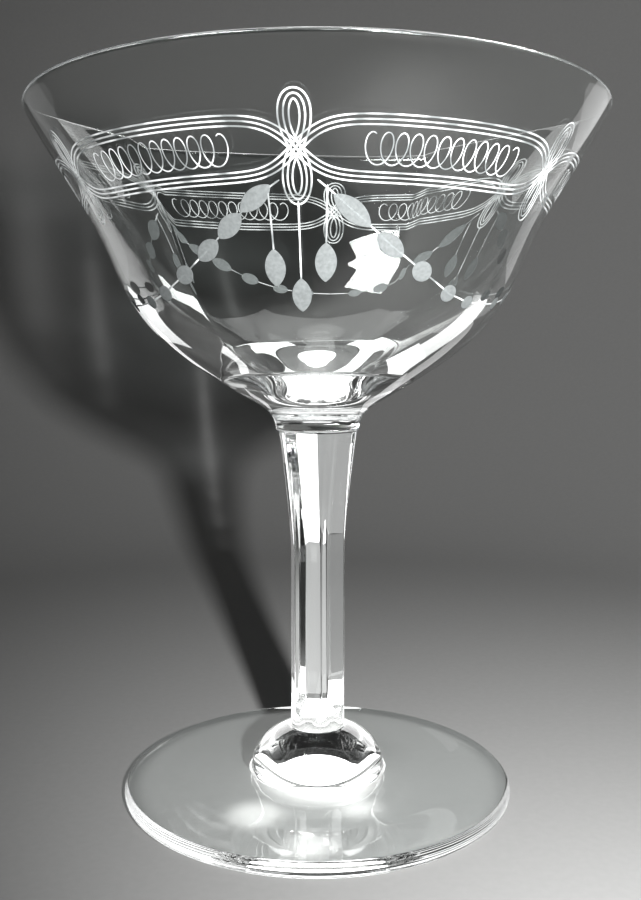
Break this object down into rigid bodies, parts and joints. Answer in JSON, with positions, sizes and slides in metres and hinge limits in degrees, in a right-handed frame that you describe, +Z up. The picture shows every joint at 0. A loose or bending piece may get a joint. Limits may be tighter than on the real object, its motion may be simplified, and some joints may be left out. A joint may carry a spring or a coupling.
{
  "type": "sherbet glass",
  "caption": "Clear stemmed sherbet glass with a wide flared bowl, a faceted stem, a domed button and a flat round foot, for serving ices, fruit or wine.",
  "frame": {"origin": "centre of the flat ring under the foot, on the surface that the glass stands on", "axes": "+Z up along the glass's own axis, -Y towards the viewer of the picture, +X to the viewer's right"},
  "size_m": [0.098, 0.098, 0.1193],
  "materials": {
    "bowl_glass": "clear, fire-polished, with a needle-etched frosted ornament outside",
    "stem_glass": "clear, faceted and polished",
    "button_glass": "clear, fire-polished",
    "foot_glass": "clear, fire-polished"
  },
  "bodies": {
    "root": {"bowl": "bowl_glass", "stem": "stem_glass", "button": "button_glass", "foot": "foot_glass"}
  },
  "joints": []
}
